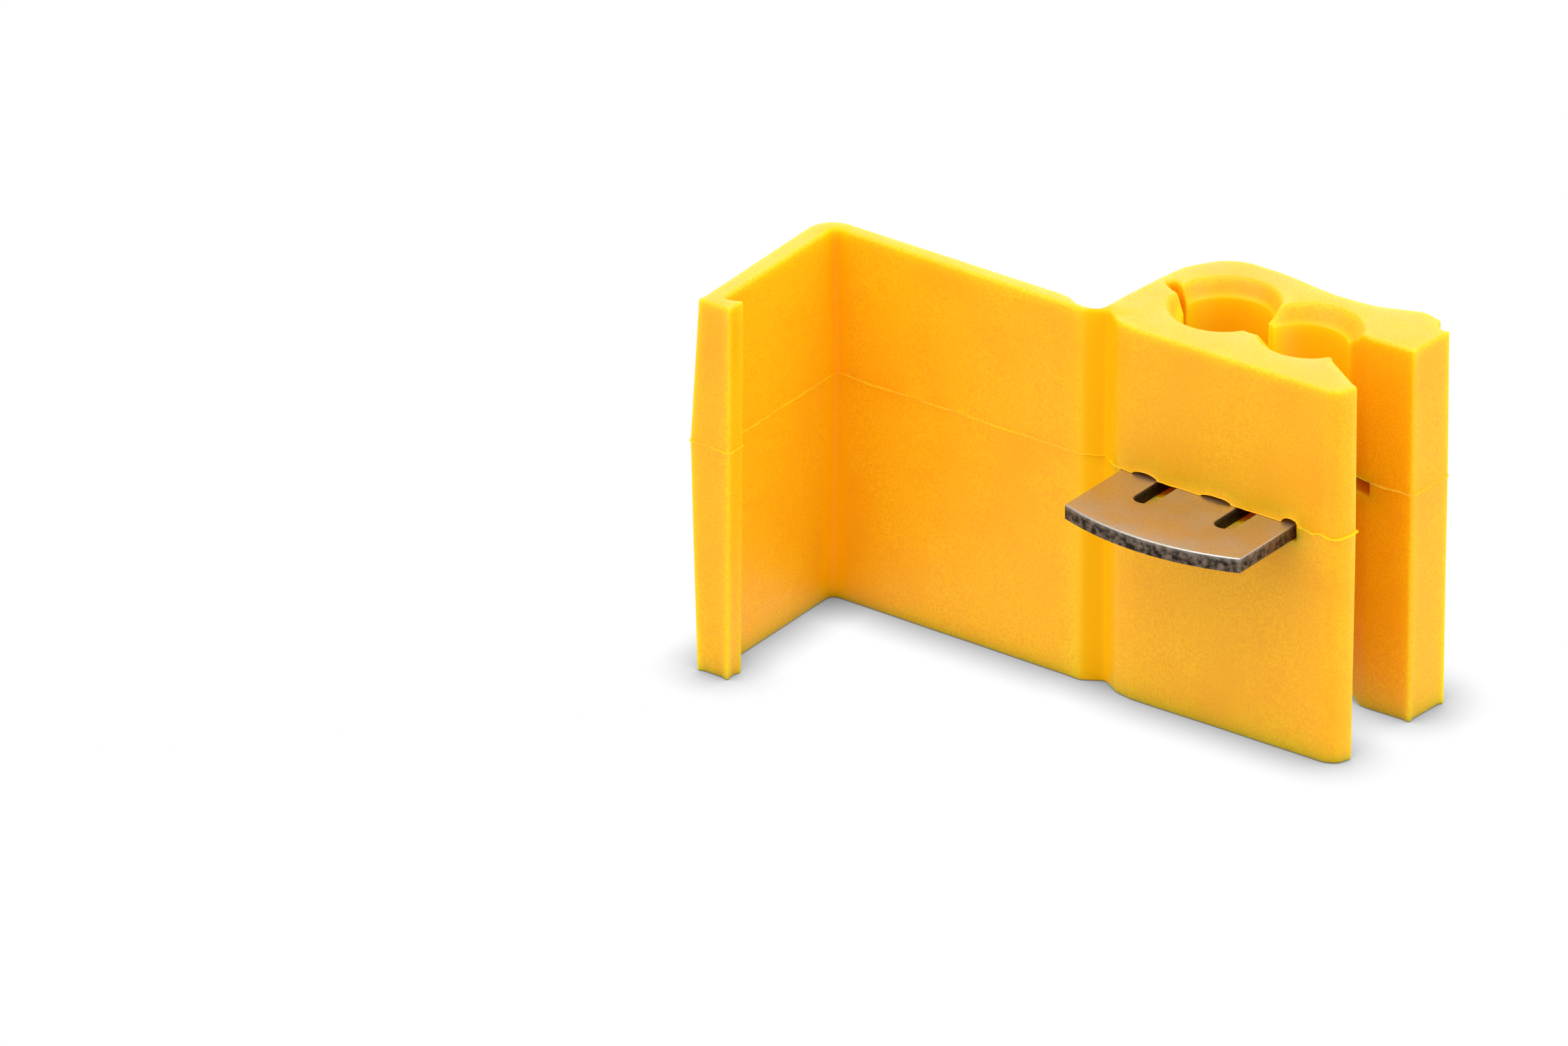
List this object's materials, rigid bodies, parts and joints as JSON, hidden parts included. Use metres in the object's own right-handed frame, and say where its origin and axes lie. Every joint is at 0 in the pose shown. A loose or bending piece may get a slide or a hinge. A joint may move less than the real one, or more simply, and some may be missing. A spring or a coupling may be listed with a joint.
{
  "type": "insulation-displacement wire connector",
  "caption": "Hinged plastic wire tap connector with two jaw channels, a fold-over latching cover and a press-in slotted metal contact.",
  "frame": {"origin": "centre of the bounding box at the base, with the connector open and standing on its end", "axes": "+Z along both wire channels, +X from the open cover towards the mouth of the jaws, +Y the way the contact is pressed in"},
  "size_m": [0.0404, 0.0254, 0.0254],
  "materials": {
    "yellow_plastic": "satin moulded, slightly translucent, fine grain",
    "tinned_brass": "tin plated, sheared and worn at the edges"
  },
  "bodies": {
    "block": {"front_jaw": "yellow_plastic", "jaw_web": "yellow_plastic", "cover_hinge_web": "yellow_plastic"},
    "rear_jaw": {"rear_jaw": "yellow_plastic"},
    "cover": {"cover": "yellow_plastic"},
    "contact": {"contact_plate": "tinned_brass"}
  },
  "joints": [
    {"name": "cover_hinge", "type": "hinge", "parent": "block", "child": "cover", "pos_m": [0.00048, -0.00009, 0.0127], "axis": [0, 0, 1], "range_deg": [0, 171.7], "deforming": ["cover_hinge_web"]},
    {"name": "jaw_squeeze", "type": "hinge", "parent": "block", "child": "rear_jaw", "pos_m": [0.00216, 0.00638, 0.0127], "axis": [0, 0, -1], "range_deg": [0, 7.5], "deforming": ["jaw_web"]},
    {"name": "contact_press", "type": "slide", "parent": "block", "child": "contact", "axis": [0, 1, 0], "range_m": [0, 0.0071]}
  ],
  "couplings": [
    {"joint": "jaw_squeeze", "follows": "cover_hinge", "ratio": 0.04368},
    {"joint": "contact_press", "follows": "cover_hinge", "m_per_rad": 0.0023692}
  ]
}
